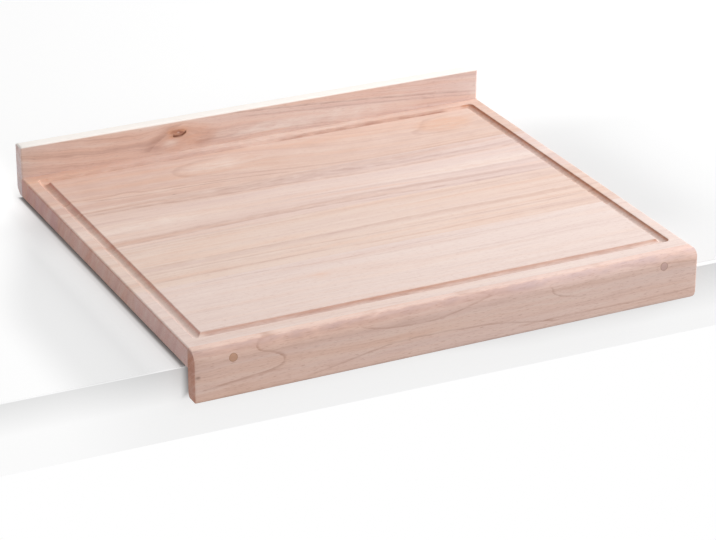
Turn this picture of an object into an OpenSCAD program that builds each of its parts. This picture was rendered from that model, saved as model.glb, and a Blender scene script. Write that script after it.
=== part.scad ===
// Solid wood cutting board that hooks over the front edge of a worktop.
// Four staves are glued edge to edge into a flat board with a juice groove round its top.
// A lip along the front hangs down over the worktop's edge, and an upstand along the back
// stops food sliding off. Lip and upstand are glued on and pinned with wooden dowels.
//
// Millimetres, +Z up, +X along the worktop's edge, +Y away from the cook.
// The origin is on the board's middle line, where the worktop's top front edge meets the
// board's underside and the lip's inner face.

/* [Board] */
// Length of the board along the worktop's edge
board_w = 500; // [400:5:600]
// Thickness of the board
board_t = 20; // [18:0.5:30]
// Rounding of the board's two end edges
edge_r = 2; // [0.5:0.25:3]

/* [Staves] */
// Depth of the stave behind the lip
front_stave_d = 119.5; // [80:0.5:160]
// Depth of the second stave
mid_front_stave_d = 95; // [40:0.5:150]
// Depth of the third stave
mid_back_stave_d = 96; // [40:0.5:150]
// Depth of the stave in front of the upstand
back_stave_d = 99.5; // [80:0.5:150]

/* [Juice groove] */
// Width of the groove at the board's top
groove_w = 10; // [8:0.5:16]
// Depth of the groove
groove_depth = 3.5; // [2:0.25:4]
// Wood left between the groove and each end of the board
groove_side_margin = 12; // [8:0.5:25]
// Wood left between the groove and the lip's glue line
groove_front_margin = 13.5; // [8:0.5:30]
// Wood left between the groove and the upstand
groove_back_margin = 9.5; // [6:0.5:25]

/* [Front lip] */
// Thickness of the lip
lip_t = 15; // [13:0.5:25]
// How far the lip hangs below the board's underside
lip_drop = 27; // [10:0.5:40]
// Large rounding where the lip's top runs into its front
lip_nose_r = 10; // [3:0.5:13]
// Rounding of the lip's long lower front edge
lip_toe_r = 2; // [1:0.5:5]
// Rounding of the lip's long lower inner edge, which slides over the worktop's edge
lip_inner_toe_r = 5; // [1:0.5:7]
// Rounding of the lip's lower left corner, seen from the front
lip_left_corner_r = 1.5; // [1:0.5:9]
// Rounding of the lip's lower right corner, seen from the front
lip_right_corner_r = 7; // [1:0.5:9]
// Rounding of the lip's upright front edges
lip_end_r = 2; // [1:0.5:5]

/* [Rear upstand] */
// Thickness of the upstand
upstand_t = 15; // [14.5:0.5:25]
// How far the upstand rises above the board's top
upstand_rise = 32.5; // [15:0.5:60]
// Large rounding of the upstand's lower rear edge
upstand_heel_r = 14; // [4:0.5:14]
// Rounding of the upstand's top rear edge
upstand_crest_r = 4; // [1:0.5:6]
// Rounding of the upstand's top front edge
upstand_brow_r = 2; // [0.5:0.25:3]
// Rounding of the upstand's two top corners and its upright edges
upstand_end_r = 2.5; // [1:0.25:4]

/* [Dowels] */
// Diameter of each dowel
dowel_d = 8; // [6:0.5:9.5]
// Distance from each end of the board to the nearest dowel's middle
dowel_inset = 36; // [25:0.5:120]
// How deep the dowels reach into the board
dowel_reach = 34; // [20:0.5:60]
// Glue room round each dowel in its bore
dowel_clearance = 0.1; // [0.05:0.05:0.3]
// Glue room past the blind end of each dowel
dowel_tail_room = 1.5; // [0.5:0.5:3]

/* [Hidden] */
$fn = 96;
// How far a cutting shape runs past the wood that it cuts
spare = 5;

lip_h = lip_drop + board_t;
upstand_h = board_t + upstand_rise;
end_x = board_w / 2;

// Each stave's name, depth and colour, from the front to the back
STAVE_LIST = [
    ["front_stave", front_stave_d, "#ecdace"],
    ["mid_front_stave", mid_front_stave_d, "#e9d0bd"],
    ["mid_back_stave", mid_back_stave_d, "#e6cfc3"],
    ["back_stave", back_stave_d, "#e4c6b4"],
];
function stave_front_y(i) = i == 0 ? 0 : stave_front_y(i - 1) + STAVE_LIST[i - 1][1];
panel_d = stave_front_y(len(STAVE_LIST));
rear_y = panel_d + upstand_t;

// The groove is an arc of a circle in section, groove_w across and groove_depth deep
groove_r = (pow(groove_w / 2, 2) + pow(groove_depth, 2)) / (2 * groove_depth);
groove_axis_z = board_t - groove_depth + groove_r;
groove_x = end_x - groove_side_margin - groove_w / 2;
groove_front_y = groove_front_margin + groove_w / 2;
groove_back_y = panel_d - groove_back_margin - groove_w / 2;

dowel_x = end_x - dowel_inset;
dowel_z = board_t / 2;

// Each dowel's name, its side, and whether it pins the lip or the upstand
DOWEL_LIST = [
    ["front_dowel_left", -1, "lip"],
    ["front_dowel_right", 1, "lip"],
    ["rear_dowel_left", -1, "upstand"],
    ["rear_dowel_right", 1, "upstand"],
];

// ---- Rounded outlines ----

// What a rounding of radius r takes off a corner at the origin, where the wood that
// stays lies towards +x and +y
module corner_waste(r) {
    difference() {
        translate([-spare, -spare]) square(r + spare);
        translate([r, r]) circle(r);
    }
}

// A rectangle from the origin with its corners rounded by the four radii of r,
// anticlockwise from the lower left
module rounded_rect(w, h, r) {
    difference() {
        square([w, h]);
        for (i = [0:3]) {
            translate([i == 1 || i == 2 ? w : 0, i > 1 ? h : 0]) rotate(90 * i) corner_waste(r[i]);
        }
    }
}

// Runs a side view along the board, from one end to the other and past by more
module along_board(more = 0) {
    rotate([90, 0, 90]) linear_extrude(board_w + 2 * more, center = true) children();
}

// Runs a front view from y = front to y = back
module front_to_back(front, back) {
    translate([0, back, 0]) rotate([90, 0, 0]) linear_extrude(back - front) children();
}

// Runs a plan view from z = low to z = high
module low_to_high(low, high) {
    translate([0, 0, low]) linear_extrude(high - low) children();
}

module at_both_ends() {
    children();
    mirror([1, 0, 0]) children();
}

// ---- Cuts that several pieces share ----

// The round-bottomed groove: two runs along the ends, two along the front and back,
// and a quarter ball that closes each outer corner
module juice_groove() {
    translate([0, 0, groove_axis_z]) {
        for (side = [-1, 1]) {
            translate([side * groove_x, groove_back_y, 0]) rotate([90, 0, 0])
                cylinder(h = groove_back_y - groove_front_y, r = groove_r);
        }
        for (y = [groove_front_y, groove_back_y]) {
            translate([0, y, 0]) rotate([0, 90, 0]) cylinder(h = 2 * groove_x, r = groove_r, center = true);
        }
        for (quarter = [0:3]) {
            translate([
                quarter == 0 || quarter == 3 ? groove_x : -groove_x,
                quarter < 2 ? groove_back_y : groove_front_y,
                0,
            ]) rotate(90 * quarter) quarter_ball(groove_r);
        }
    }
}

// The quarter of a ball that lies towards +x and +y
module quarter_ball(r) {
    rotate_extrude(angle = 90) intersection() {
        circle(r);
        translate([0, -r]) square([r, 2 * r]);
    }
}

// What the lip's large rounding takes off along its top front edge
module nose_waste() {
    along_board(spare) translate([-lip_t, board_t]) rotate(270) corner_waste(lip_nose_r);
}

// What the upstand's large rounding takes off along its lower rear edge
module heel_waste() {
    along_board(spare) translate([rear_y, 0]) rotate(90) corner_waste(upstand_heel_r);
}

// A round bar along Y from y = front to y = back, at a dowel's place on the given side
module dowel_bar(side, front, back, d) {
    translate([side * dowel_x, back, dowel_z]) rotate([90, 0, 0]) cylinder(h = back - front, d = d);
}

module dowel_bores() {
    bore_d = dowel_d + 2 * dowel_clearance;
    for (side = [-1, 1]) {
        dowel_bar(side, -lip_t - spare, dowel_reach, bore_d);
        dowel_bar(side, panel_d - dowel_reach, rear_y + spare, bore_d);
    }
}

// ---- Sub-parts ----

module stave(front, depth, tint) {
    color(tint) difference() {
        front_to_back(front, front + depth) translate([-end_x, 0])
            rounded_rect(board_w, board_t, [edge_r, edge_r, edge_r, edge_r]);
        juice_groove();
        dowel_bores();
    }
}

module front_lip() {
    color("#d9bcae") difference() {
        along_board() translate([-lip_t, -lip_drop])
            rounded_rect(lip_t, lip_h, [lip_toe_r, lip_inner_toe_r, 0, 0]);
        nose_waste();
        front_to_back(-lip_t - spare, spare) {
            translate([-end_x, -lip_drop]) corner_waste(lip_left_corner_r);
            translate([end_x, -lip_drop]) rotate(90) corner_waste(lip_right_corner_r);
        }
        at_both_ends() {
            front_to_back(-lip_t - spare, spare) translate([-end_x, board_t]) rotate(270)
                corner_waste(edge_r);
            low_to_high(-lip_drop - spare, board_t + spare) translate([-end_x, -lip_t])
                corner_waste(lip_end_r);
        }
        dowel_bores();
    }
}

module rear_upstand() {
    color("#dfbfae") difference() {
        along_board() translate([panel_d, 0])
            rounded_rect(upstand_t, upstand_h, [0, 0, upstand_crest_r, upstand_brow_r]);
        heel_waste();
        at_both_ends() {
            front_to_back(panel_d - spare, rear_y + spare) {
                translate([-end_x, upstand_h]) rotate(270) corner_waste(upstand_end_r);
                translate([-end_x, 0]) corner_waste(edge_r);
            }
            low_to_high(-spare, upstand_h + spare) translate([-end_x, rear_y])
                rotate(270) corner_waste(upstand_end_r);
            low_to_high(board_t, upstand_h + spare) translate([-end_x, panel_d])
                corner_waste(upstand_end_r);
        }
        dowel_bores();
    }
}

// A dowel's outer end is sanded flush with the face that it comes out of
module dowel(side, pins) {
    color("#b98d6c") difference() {
        if (pins == "lip") {
            dowel_bar(side, -lip_t, dowel_reach - dowel_tail_room, dowel_d);
        } else {
            dowel_bar(side, panel_d - dowel_reach + dowel_tail_room, rear_y, dowel_d);
        }
        nose_waste();
        heel_waste();
    }
}

for (i = [0:len(STAVE_LIST) - 1]) {
    union() {
        stave(stave_front_y(i), STAVE_LIST[i][1], STAVE_LIST[i][2]);
    }
}
front_lip();
rear_upstand();
for (d = DOWEL_LIST) {
    dowel(d[1], d[2]);
}
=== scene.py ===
"""A wooden cutting board that hooks over the front edge of a worktop, dressed for a picture.

The board is four staves glued edge to edge, with a juice groove round its top, a lip along the
front, an upstand along the back and four dowels. Lengths are in millimetres unless a comment
says metres; the frame is the part's own, with the worktop's top front edge along X at y = z = 0.
"""

from __future__ import annotations

import logging
import math
from dataclasses import dataclass, field
from enum import Enum
from typing import Callable, Sequence, Union

import bpy
from mathutils import Matrix, Vector

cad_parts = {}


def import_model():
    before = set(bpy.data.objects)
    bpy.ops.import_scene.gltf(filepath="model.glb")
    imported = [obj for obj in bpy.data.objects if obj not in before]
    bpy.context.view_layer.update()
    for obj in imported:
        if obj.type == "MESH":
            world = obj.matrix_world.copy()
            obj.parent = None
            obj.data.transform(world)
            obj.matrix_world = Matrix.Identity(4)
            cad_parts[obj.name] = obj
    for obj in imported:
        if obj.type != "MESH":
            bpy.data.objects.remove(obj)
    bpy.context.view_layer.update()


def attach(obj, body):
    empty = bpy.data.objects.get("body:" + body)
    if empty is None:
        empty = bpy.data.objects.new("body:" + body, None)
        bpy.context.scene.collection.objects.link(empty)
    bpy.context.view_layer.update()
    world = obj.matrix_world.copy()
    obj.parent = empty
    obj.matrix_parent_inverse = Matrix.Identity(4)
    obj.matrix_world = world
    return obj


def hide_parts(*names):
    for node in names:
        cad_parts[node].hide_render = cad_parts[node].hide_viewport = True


LOG = logging.getLogger("cutting_board")
MM = 0.001
# Half the board's length, its thickness, and its depth without lip and upstand
HALF_LENGTH = 250.0
THICKNESS = 20.0
DEPTH = 410.0
# The lip's thickness, and how far it hangs below the board
LIP_THICKNESS = 15.0
LIP_DROP = 27.0
# The upstand's thickness, and the height of its top
UPSTAND_THICKNESS = 15.0
UPSTAND_TOP = 52.5
# How deep the dowels reach into the board, and how far their ends stand proud
DOWEL_DEPTH = 32.5
PROUD = 0.04
# How far past a rounding a mesh line holds the flat
HOLD = 0.4
# Between these places along the board, the left half's tones pass into the right half's
HALVES = (-50.0, 50.0)
# How far apart one seed and the next read the noise
SEED_STEP = 13.7
Colour = tuple[float, float, float, float]
Point = tuple[float, float]


def tint(red: float, green: float, blue: float) -> Colour:
    """Turns a screen colour, 0 to 255, into the linear colour that a shader takes.

    Args:
        red: Red, 0 to 255.
        green: Green, 0 to 255.
        blue: Blue, 0 to 255.

    Returns:
        Linear red, green and blue, with full alpha.
    """

    def linear(value: float) -> float:
        """Undoes the screen's curve for one channel."""
        part = value / 255
        return part / 12.92 if part <= 0.04045 else ((part + 0.055) / 1.055) ** 2.4

    return (linear(red), linear(green), linear(blue), 1.0)


# ---- Node trees, written as expressions ----


def sign(operation: str, turned: bool = False) -> Callable[[Num, Value], Num]:
    """Makes the method by which a sign of arithmetic adds its Math node.

    Args:
        operation: The node's operation.
        turned: True for the reflected form, where the other value comes first.

    Returns:
        The method.
    """

    def method(self: Num, other: Value) -> Num:
        """Adds the node and returns its result."""
        return self.net.math(operation, *((other, self) if turned else (self, other)))

    return method


class Num:
    """A number on a node's socket that takes part in ordinary arithmetic."""

    def __init__(self, net: Net, socket: bpy.types.NodeSocket) -> None:
        """Keeps the tree and the socket."""
        self.net = net
        self.socket = socket

    __add__ = sign("ADD")
    __radd__ = sign("ADD", turned=True)
    __sub__ = sign("SUBTRACT")
    __rsub__ = sign("SUBTRACT", turned=True)
    __mul__ = sign("MULTIPLY")
    __rmul__ = sign("MULTIPLY", turned=True)
    __truediv__ = sign("DIVIDE")
    __rtruediv__ = sign("DIVIDE", turned=True)
    least = sign("MINIMUM")
    most = sign("MAXIMUM")

    def __neg__(self) -> Num:
        """Minus self."""
        return self.net.math("MULTIPLY", self, -1.0)

    def __abs__(self) -> Num:
        """The size of self."""
        return self.net.math("ABSOLUTE", self)

    def root(self) -> Num:
        """The square root of self, 0 where self is negative."""
        return self.net.math("SQRT", self.most(0.0))

    def rise(self, low: float, high: float) -> Num:
        """A smooth step.

        Args:
            low: Where the step leaves one end.
            high: Where the step reaches the other end; below low, the step falls.

        Returns:
            0 on low's side, 1 on high's side, smooth between.
        """
        falls = high < low
        ends = {"From Min": min(low, high), "From Max": max(low, high)}
        ends |= {"To Min": float(falls), "To Max": float(not falls)}
        settings = {"interpolation_type": "SMOOTHSTEP"}
        node = self.net.add("ShaderNodeMapRange", settings, {"Value": self, **ends})
        return Num(self.net, node.outputs["Result"])


Value = Union[Num, float, int]
Triple = tuple[Num, Num, Num]


class Net:
    """A node tree, and the ways in which this script adds nodes to it."""

    def __init__(self, tree: bpy.types.NodeTree) -> None:
        """Keeps the tree."""
        self.tree = tree

    def add(self, kind: str, settings: dict | None = None, inputs: dict | None = None) -> bpy.types.Node:
        """Adds one node.

        Args:
            kind: The node's type.
            settings: Properties, set first; "curve" holds the points of a float curve.
            inputs: Values or links of the input sockets, by name or number.

        Returns:
            The node.
        """
        node = self.tree.nodes.new(kind)
        for name, value in (settings or {}).items():
            if name == "curve":
                points = node.mapping.curves[0].points
                for place, (x, y) in enumerate(value):
                    point = points[place] if place < 2 else points.new(x, y)
                    point.location = (x, y)
                node.mapping.update()
            else:
                setattr(node, name, value)
        for key, value in (inputs or {}).items():
            self.feed(node.inputs[key], value)
        return node

    def feed(self, socket: bpy.types.NodeSocket, value: object) -> None:
        """Links a socket to a Num or a socket, or sets its plain value.

        Args:
            socket: The input socket.
            value: A Num, an output socket or a plain value.
        """
        if isinstance(value, Num):
            self.tree.links.new(value.socket, socket)
        elif isinstance(value, bpy.types.NodeSocket):
            self.tree.links.new(value, socket)
        else:
            socket.default_value = value

    def math(self, operation: str, *values: Value) -> Num:
        """Adds one Math node, with its one or two values, and returns its result."""
        node = self.add("ShaderNodeMath", {"operation": operation}, dict(enumerate(values)))
        return Num(self, node.outputs[0])

    def vector(self, x: Value, y: Value, z: Value) -> bpy.types.NodeSocket:
        """Joins three numbers into a vector."""
        return self.add("ShaderNodeCombineXYZ", None, {0: x, 1: y, 2: z}).outputs[0]

    def split(self, vector: bpy.types.NodeSocket) -> Triple:
        """Parts a vector into its three numbers."""
        node = self.add("ShaderNodeSeparateXYZ", None, {0: vector})
        return Num(self, node.outputs[0]), Num(self, node.outputs[1]), Num(self, node.outputs[2])

    def noise(self, x: Value, y: Value, z: Value, detail: float = 2.0, rough: float = 0.5) -> Num:
        """Smooth noise about 0.

        Args:
            x: First coordinate, in units of the noise's own grain.
            y: Second coordinate.
            z: Third coordinate.
            detail: How many finer layers are added.
            rough: How strong the finer layers are.

        Returns:
            A number mostly between -0.5 and 0.5.
        """
        inputs = {"Vector": self.vector(x, y, z), "Scale": 1.0, "Detail": detail, "Roughness": rough}
        node = self.add("ShaderNodeTexNoise", {"noise_dimensions": "3D"}, inputs)
        return Num(self, node.outputs[0]) - 0.5

    def curve(self, reading: Num, points: Sequence[Point]) -> Num:
        """Reads a smooth drawn curve.

        Args:
            reading: The place at which it is read.
            points: Places and heights along the curve, in order of place.

        Returns:
            The curve's height.
        """
        first, last = points[0][0], points[-1][0]
        low = min(height for _, height in points)
        span = max(max(height for _, height in points) - low, 1e-3)
        drawn = [((place - first) / (last - first), (height - low) / span) for place, height in points]
        part = (reading - first) / (last - first)
        node = self.add("ShaderNodeFloatCurve", {"curve": drawn}, {"Value": part})
        return Num(self, node.outputs[0]) * span + low

    def blend(self, amount: Value, under: object, over: object, how: str = "MIX") -> bpy.types.NodeSocket:
        """Lays one colour over another.

        Args:
            amount: How much of the upper colour shows, 0 to 1.
            under: The lower colour.
            over: The upper colour.
            how: The Mix node's blend type.

        Returns:
            The colour's socket.
        """
        settings = {"data_type": "RGBA", "blend_type": how, "clamp_factor": True}
        return self.add("ShaderNodeMix", settings, {0: amount, 6: under, 7: over}).outputs[2]


class Paint(Net):
    """A material's tree, with its shader."""

    def __init__(self, name: str) -> None:
        """Makes the material.

        Args:
            name: The material's name.
        """
        self.material = bpy.data.materials.new(name)
        self.material.use_nodes = True
        super().__init__(self.material.node_tree)
        self.shader = self.tree.nodes["Principled BSDF"]

    def place(self) -> Triple:
        """The place on the piece, in mm."""
        inputs = {0: self.add("ShaderNodeTexCoord").outputs["Object"], 3: 1 / MM}
        return self.split(self.add("ShaderNodeVectorMath", {"operation": "SCALE"}, inputs).outputs[0])

    def bump(self, relief: Num, strength: float, height: float) -> bpy.types.NodeSocket:
        """Turns a relief into a normal; its height is in metres."""
        inputs = {"Strength": strength, "Distance": height, "Height": relief}
        return self.add("ShaderNodeBump", None, inputs).outputs[0]

    def finish(self, inputs: dict[str, object]) -> bpy.types.Material:
        """Feeds the shader.

        Args:
            inputs: Values or links of its inputs, by name.

        Returns:
            The finished material.
        """
        for name, value in inputs.items():
            self.feed(self.shader.inputs[name], value)
        return self.material


class Former(Net):
    """A Geometry Nodes tree that takes a shape, named sizes and a wood."""

    def __init__(self, name: str, sizes: Sequence[str]) -> None:
        """Makes the tree with its inputs and its output.

        Args:
            name: The tree's name.
            sizes: The names of its sizes.
        """
        super().__init__(bpy.data.node_groups.new(name, "GeometryNodeTree"))
        kinds = {"Geometry": "Geometry"} | {size: "Float" for size in sizes} | {"Wood": "Material"}
        for label, kind in kinds.items():
            self.tree.interface.new_socket(label, in_out="INPUT", socket_type="NodeSocket" + kind)
        self.tree.interface.new_socket("Geometry", in_out="OUTPUT", socket_type="NodeSocketGeometry")
        self.given = self.add("NodeGroupInput").outputs
        self.sizes = [Num(self, self.given[size]) for size in sizes]

    def finish(self, shape: bpy.types.NodeSocket) -> bpy.types.NodeTree:
        """Makes the shape real and gives it its wood.

        Args:
            shape: The shape.

        Returns:
            The finished tree.
        """
        real = self.add("GeometryNodeRealizeInstances", None, {0: shape}).outputs[0]
        dressed = {"Geometry": real, "Material": self.given["Wood"]}
        self.add("NodeGroupOutput", None, {0: self.add("GeometryNodeSetMaterial", None, dressed).outputs[0]})
        return self.tree


# ---- Wood ----


class Tone(Enum):
    """Which of a wood's tones a mark takes."""

    DARK = "dark"
    LIGHT = "light"
    WARM = "warm"
    GREY = "grey"
    DEEP = "deep"


class Course(Enum):
    """Which way a drawn line is read."""

    ALONG = "a place across the grain for each place along it"
    ACROSS = "a place along the grain for each place across it"


@dataclass(frozen=True)
class GrainAndShadeLine:
    """A dark or pale line that follows a drawn curve, for grain in the wood and for painted shade along
    grooves and edges.

    Attributes:
        points: The curve, as pairs of the place that is read and the line's own place.
        width: How far the line reaches on its sharp side.
        tail: How far it fades on its soft side; below 0, the soft side is the lower one.
        strength: How much of the tone shows.
        tone: The tone.
        course: Which way the curve is read.
    """

    points: tuple[Point, ...]
    width: float
    tail: float
    strength: float
    tone: Tone = Tone.DARK
    course: Course = Course.ALONG

    def cover(self, along: Num, across: Num) -> Num:
        """Works out where the line shows.

        Args:
            along: The place along the grain.
            across: The place across the grain.

        Returns:
            How much of the tone shows, 0 to strength.
        """
        net = along.net
        read, place = (along, across) if self.course is Course.ALONG else (across, along)
        first, last = self.points[0][0], self.points[-1][0]
        here = net.curve(read, self.points)
        gap = place - here
        if self.course is Course.ACROSS:
            step = 0.01 * (last - first)
            slope = (net.curve(read + step, self.points) - here) / step
            gap = gap / (slope * slope + 1.0).root()
        sharp, soft = self.width, abs(self.tail)
        above, below = (soft, sharp) if self.tail > 0 else (sharp, soft)
        shape = gap.rise(above, 0.0) * gap.rise(-below, 0.0)
        part = (read - first) / (last - first)
        return shape * part.rise(-0.005, 0.06) * part.rise(1.005, 0.94) * self.strength


@dataclass(frozen=True)
class Patch:
    """A soft oval of another tone, or of a bulge in the growth layers.

    Attributes:
        along: Its middle along the grain.
        across: Its middle across the grain.
        length: Half its length.
        breadth: Half its breadth.
        strength: How much of the tone shows in its middle, or how far the layers bulge there.
        tone: The tone.
        firm: How much of it is evenly covered before it fades, 0 to 1.
    """

    along: float
    across: float
    length: float
    breadth: float
    strength: float
    tone: Tone = Tone.DARK
    firm: float = 0.0

    def cover(self, along: Num, across: Num) -> Num:
        """Works out where the patch shows.

        Args:
            along: The place along the grain.
            across: The place across the grain.

        Returns:
            0 outside it, strength in its middle.
        """
        far = (along - self.along) / self.length
        wide = (across - self.across) / self.breadth
        return (far * far + wide * wide).root().rise(1.0, self.firm) * self.strength


@dataclass(frozen=True)
class Drift:
    """How far the growth layers have drifted from straight, read along the grain.

    Attributes:
        across: Where across the grain this is read.
        points: Places along the grain and drifts.
    """

    across: float
    points: tuple[Point, ...]


class Face(Enum):
    """The two ways that a piece's broad face lies."""

    LEVEL = "level"
    UPRIGHT = "upright"


@dataclass(frozen=True)
class Grain:
    """How strongly each kind of grain shows.

    Attributes:
        broad: Wide soft bands.
        bands: Growth rings.
        threads: Fine lines.
        pores: Short dashes where vessels are cut along.
        hue: Change between orange and grey wood.
        mottle: Soft cloudy change of tone.
        wander: How far the grain wanders from straight, in mm.
        lean: How far the growth layers lean, in mm across for each mm of depth.
    """

    broad: float = 1.0
    bands: float = 1.0
    threads: float = 1.0
    pores: float = 1.0
    hue: float = 1.0
    mottle: float = 1.0
    wander: float = 2.5
    lean: float = 0.6


@dataclass(frozen=True)
class Wood:
    """The look of one piece of pale, close-grained hardwood, with its grain along X.

    Attributes:
        name: The material's name.
        left: Tone at the left end.
        right: Tone at the right end.
        seed: Sets this piece's noise apart from the others'.
        face: How the piece's broad face lies.
        surface: The face's own height or depth.
        grain: How strongly each kind of grain shows.
        drifts: The layers' drift at two distances across the grain, the lower one first.
        swells: Where the layers bulge.
        figure: The lines and patches that show on this piece, from the lowest to the uppermost.
        dark: Tone of the dark growth, and of painted shade in and along the grooves.
        light: Tone of the pale growth, and of painted highlights and painted light.
        warm: Tone of the orange heart.
        grey: Tone of the grey sapwood, and of painted shade on the lip's nose.
        deep: Tone of the heart of a knot, and of painted shade along the lip's lower edge.
        end: What the colour of the left end's grain is multiplied by; the upstand's, above 1 and most in
            blue, paints a pale sheen.
        far_end: The same for the right end.
        cut: What the colour in the juice groove is multiplied by, as painted shade.
        highlight_from: Height above which the top edge is painted paler, a painted highlight.
    """

    name: str
    left: Colour
    right: Colour
    seed: float
    face: Face = Face.LEVEL
    surface: float = THICKNESS
    grain: Grain = Grain()
    drifts: tuple[Drift, ...] = ()
    swells: tuple[Patch, ...] = ()
    figure: tuple[Union[GrainAndShadeLine, Patch], ...] = ()
    dark: Colour = tint(180, 136, 120)
    light: Colour = tint(250, 236, 226)
    warm: Colour = tint(230, 178, 146)
    grey: Colour = tint(214, 186, 182)
    deep: Colour = tint(100, 56, 42)
    end: Colour = (0.99, 0.83, 0.84, 1.0)
    far_end: Colour = (0.73, 0.68, 0.66, 1.0)
    cut: Colour = (0.80, 0.52, 0.39, 1.0)
    highlight_from: float = 1000.0

    def layers(self, along: Num, across: Num, depth: Num) -> Num:
        """Works out which growth layer is cut at each place.

        Args:
            along: The place along the grain.
            across: The place across the grain.
            depth: The place behind the broad face.

        Returns:
            The layer, as a distance across the grain.
        """
        net = along.net
        shift = self.seed * SEED_STEP
        wander = self.grain.wander
        slow = net.noise(along / 150 + shift, across / 42, depth / 42, 1.0)
        quick = net.noise(along / 22 + shift, across / 9, depth / 10, 2.0)
        layer = across + depth * self.grain.lean + slow * (2.4 * wander) + quick * (1.5 * wander)
        if self.drifts:
            low, high = self.drifts
            part = ((across - low.across) / (high.across - low.across)).most(0.0).least(1.0)
            under, over = net.curve(along, low.points), net.curve(along, high.points)
            layer = layer - under - (over - under) * part
        for swell in self.swells:
            layer = layer + swell.cover(along, across)
        return layer

    def dress(self, groove: JuiceGroove | None = None) -> bpy.types.Material:
        """Makes the material.

        Args:
            groove: The juice groove that is pressed into the piece, if one is.

        Returns:
            The finished material.
        """
        paint = Paint(self.name)
        x, y, z = paint.place()
        across, depth = (y, z - self.surface) if self.face is Face.LEVEL else (z, y - self.surface)
        shift = self.seed * SEED_STEP
        grain = self.grain
        layer = self.layers(x, across, depth)
        facing = paint.split(paint.add("ShaderNodeNewGeometry").outputs["Normal"])
        end = abs(facing[0]).rise(0.55, 0.95)

        # What a place is divided by is the size of that noise's spots, in mm
        broad = paint.noise(x / 700 + shift, layer / 18, depth / 60, 1.0)
        bands = paint.noise(x / 330 - shift, layer / 5.5, depth / 24, 3.0, 0.6)
        threads = paint.noise(x / 60 + shift, layer / 1.3, depth / 1.6, 2.0, 0.6)
        pores = paint.noise(x / 6.5 - shift, across / 0.6, depth / 0.6, 1.0).rise(0.08, 0.22)
        mottle = paint.noise(x / 30, across / 17 + shift, depth / 16, 3.0)
        hue = paint.noise(x / 240 + shift, layer / 11, depth / 30 + 7.0, 2.0) * (1.1 * grain.hue)
        wobble = paint.noise(x / 13, across / 9 + shift, 0.0, 2.0)
        ragged = (paint.noise(x / 19 - shift, across / 5, 3.0, 2.0) * 2.6 + 0.85).most(0.0)
        rays = paint.noise(x / 40 + shift, across / 3.2, depth / 0.8, 2.0)

        flow = (x + HALF_LENGTH) / (2 * HALF_LENGTH) + mottle * 0.35
        colour = paint.blend(flow.rise(0.0, 1.0), self.left, self.right)
        growth = broad * (0.5 * grain.broad) + bands * (0.7 * grain.bands) + threads * (0.45 * grain.threads)
        growth = growth + mottle * (0.22 * grain.mottle)
        tones = ((growth, self.dark), (-growth, self.light), (hue, self.warm), (-hue, self.grey))
        for amount, tone in tones:
            colour = paint.blend(amount, colour, tone)
        bent_x, bent_across = x + wobble * 4.0, across + wobble * 1.4
        for mark in self.figure:
            cover = mark.cover(bent_x, bent_across) * ragged
            colour = paint.blend(cover, colour, getattr(self, mark.tone.value))
        colour = paint.blend(pores * (end * 0.3 + 0.2 * grain.pores), colour, self.dark)
        # The end grain's own tone, with a painted pale sheen on the upstand's left end
        end_grain_and_sheen = paint.blend(x.rise(*HALVES), self.end, self.far_end)
        colour = paint.blend(end * (rays * 1.1 + 0.92 + bands * 1.4), colour, end_grain_and_sheen, "MULTIPLY")
        if groove:
            colour = self.paint_groove_shade(colour, groove, (x, across, depth), facing, threads)
        else:
            # Painted highlight: faces that look straight up are paler, most away from the ends, and the top
            # edge above its set height paler still
            flat = facing[2].rise(0.994, 1.0) * (abs(x).rise(HALF_LENGTH - 5, 120) * 0.14 + 0.04)
            for amount in (flat, z.rise(self.highlight_from, self.highlight_from + 1.2)):
                colour = paint.blend(amount, colour, self.light)
        looks = {"Base Color": colour, "Roughness": bands * 0.1 + pores * 0.12 + end * 0.1 + 0.64}
        looks["Normal"] = paint.bump(threads * 0.5 - pores * 0.9 + bands * 0.3, 0.35, 0.00012)
        return paint.finish(looks | {"Specular IOR Level": 0.15})

    def paint_groove_shade(
        self, colour: bpy.types.NodeSocket, groove: JuiceGroove, place: Triple, facing: Triple, threads: Num
    ) -> bpy.types.NodeSocket:
        """Lays painted shade in the juice groove over a stave's colour.

        Args:
            colour: The stave's colour.
            groove: The groove.
            place: The place along the board, across it and above its top.
            facing: The way that the surface faces.
            threads: The grain's fine lines.

        Returns:
            The colour with the groove's painted shade in it.
        """
        net = threads.net
        x, y, depth = place
        side_rim = groove.half_length - groove.width / 2
        front_rim = groove.front + groove.width / 2
        back_rim = groove.back - groove.width / 2
        # Painted shade in the groove, darkest on its steep walls and weaker on walls that face right
        cut = depth.rise(-0.02, -0.8) * facing[2].rise(0.15, 0.3) * depth.rise(-4.5, -4.0)
        steep = facing[2].rise(0.995, 0.45)
        # The painted shade is faint along the back run, in its left corner and along the front run's right
        # half
        faint = y.rise(back_rim - 3.5, back_rim + 0.5) * abs(x).rise(side_rim + 1, side_rim - 5) * 0.75
        corner = x.rise(2 - side_rim, -3 - side_rim) * y.rise(back_rim - 0.5, back_rim + 5.5)
        front = y.rise(front_rim + 6.5, front_rim + 0.5) * x.rise(-60, 180) * x.rise(side_rim, side_rim - 6)
        even = x.rise(-HALF_LENGTH, HALF_LENGTH) * 0.5 + 0.5 - (faint + corner * 0.4 + front * 0.4)
        groove_shade = cut * (steep * 0.95 + 0.12 + threads * 0.6) * even
        groove_shade = groove_shade * (1.0 - facing[0].rise(0.0, 0.5) * (x.rise(-100, 100) * 0.35 + 0.25))
        # Painted light on the left run's floor, and painted shade on its wall that faces right
        left_run = cut * x.rise(6 - side_rim, -side_rim)
        groove_floor_light = left_run * facing[0].rise(0.35, 0.1) * facing[0].rise(-0.6, -0.3) * y.rise(320, 120)
        colour = net.blend(groove_floor_light * 0.3, colour, self.light)
        colour = net.blend(left_run * facing[0].rise(0.35, 0.7) * 0.4, colour, self.dark)
        return net.blend(groove_shade, colour, self.cut, "MULTIPLY")


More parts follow.
